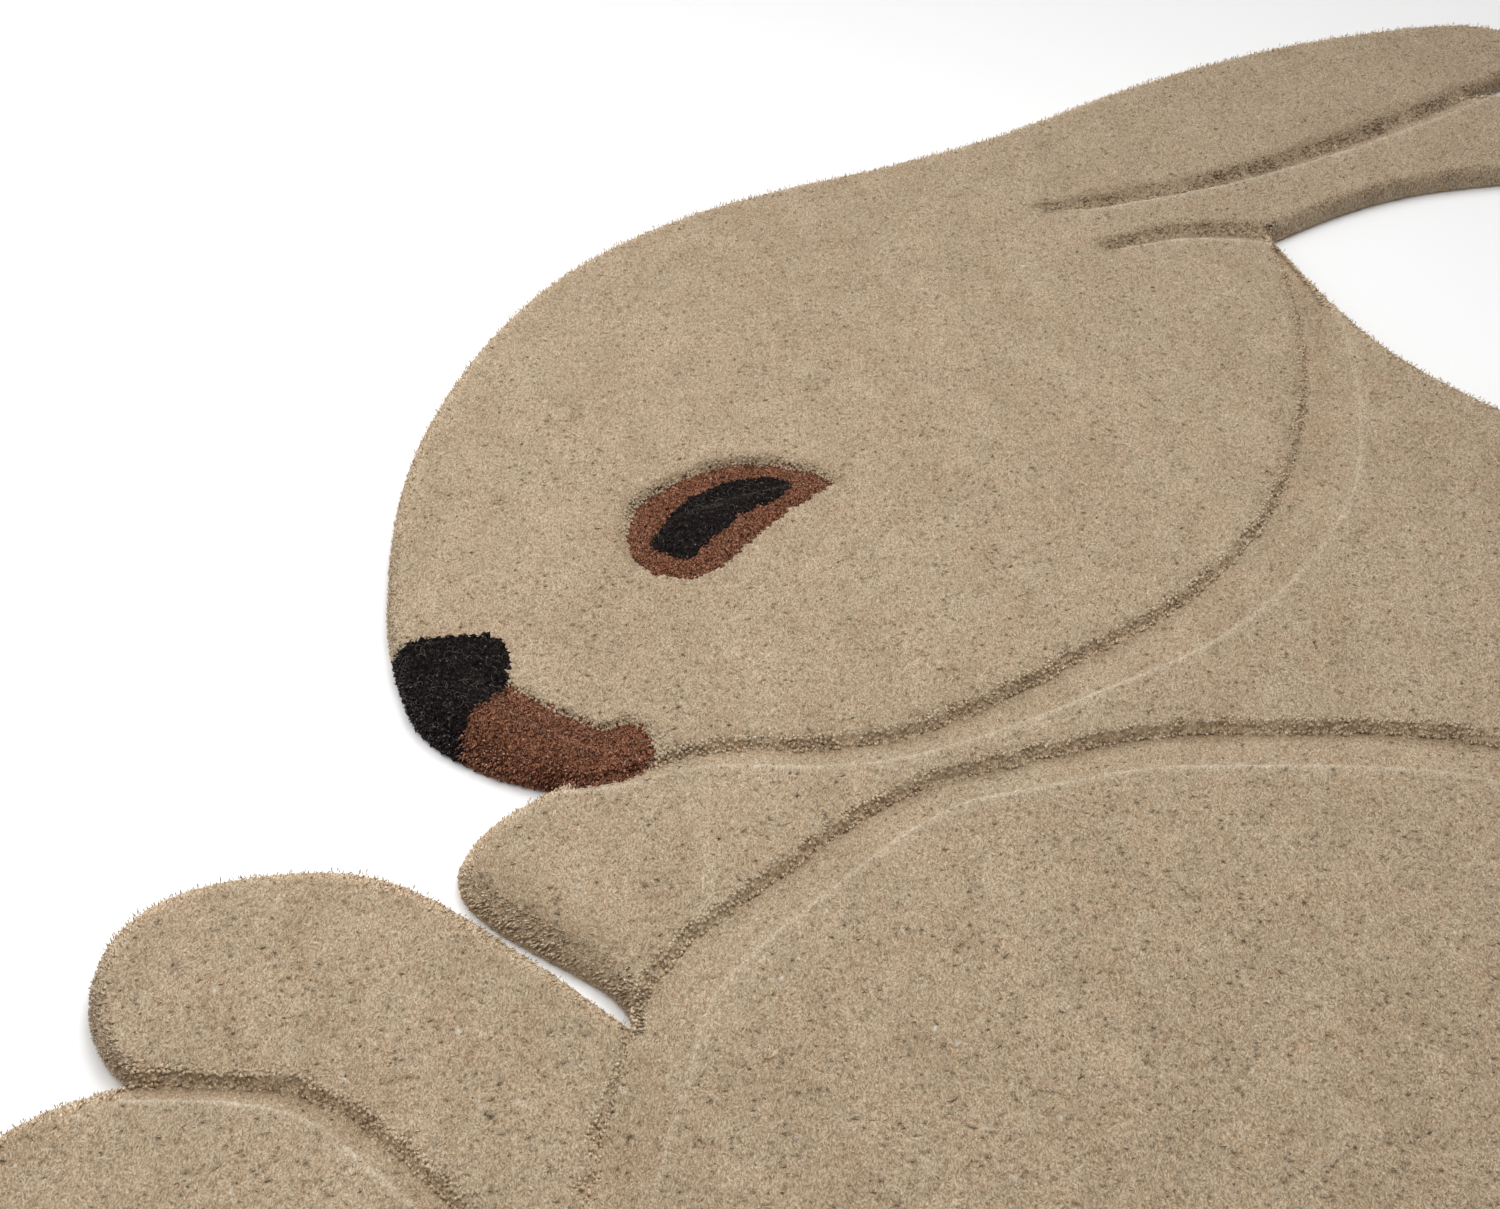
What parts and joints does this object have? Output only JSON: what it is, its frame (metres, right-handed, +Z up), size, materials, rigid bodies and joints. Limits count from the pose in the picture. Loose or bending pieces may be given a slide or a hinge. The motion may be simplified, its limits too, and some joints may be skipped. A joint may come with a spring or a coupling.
{
  "type": "rabbit-shaped tufted rug",
  "caption": "Flat cut-pile rug in the outline of a sitting rabbit, with carved lines between head, ears, chest, paws, body and tail.",
  "frame": {"origin": "on the floor, under the middle of the rug's bounding box", "axes": "+Z up out of the pile, +Y from the paws towards the ears, -X the way the rabbit faces"},
  "size_m": [0.998, 1.215, 0.013],
  "materials": {
    "beige_wool": "sheared cut-pile wool in a heathered beige, matt with soft light and dark tufts",
    "black_wool": "sheared cut-pile wool in black with a few pale loose fibres, on the nose and the pupil",
    "brown_wool": "sheared cut-pile wool in reddish brown, on the mouth and round the eye",
    "backing_cloth": "plain cotton backing cloth, only seen from below"
  },
  "bodies": {
    "root": {"tufted_rug": "beige_wool"}
  },
  "joints": []
}
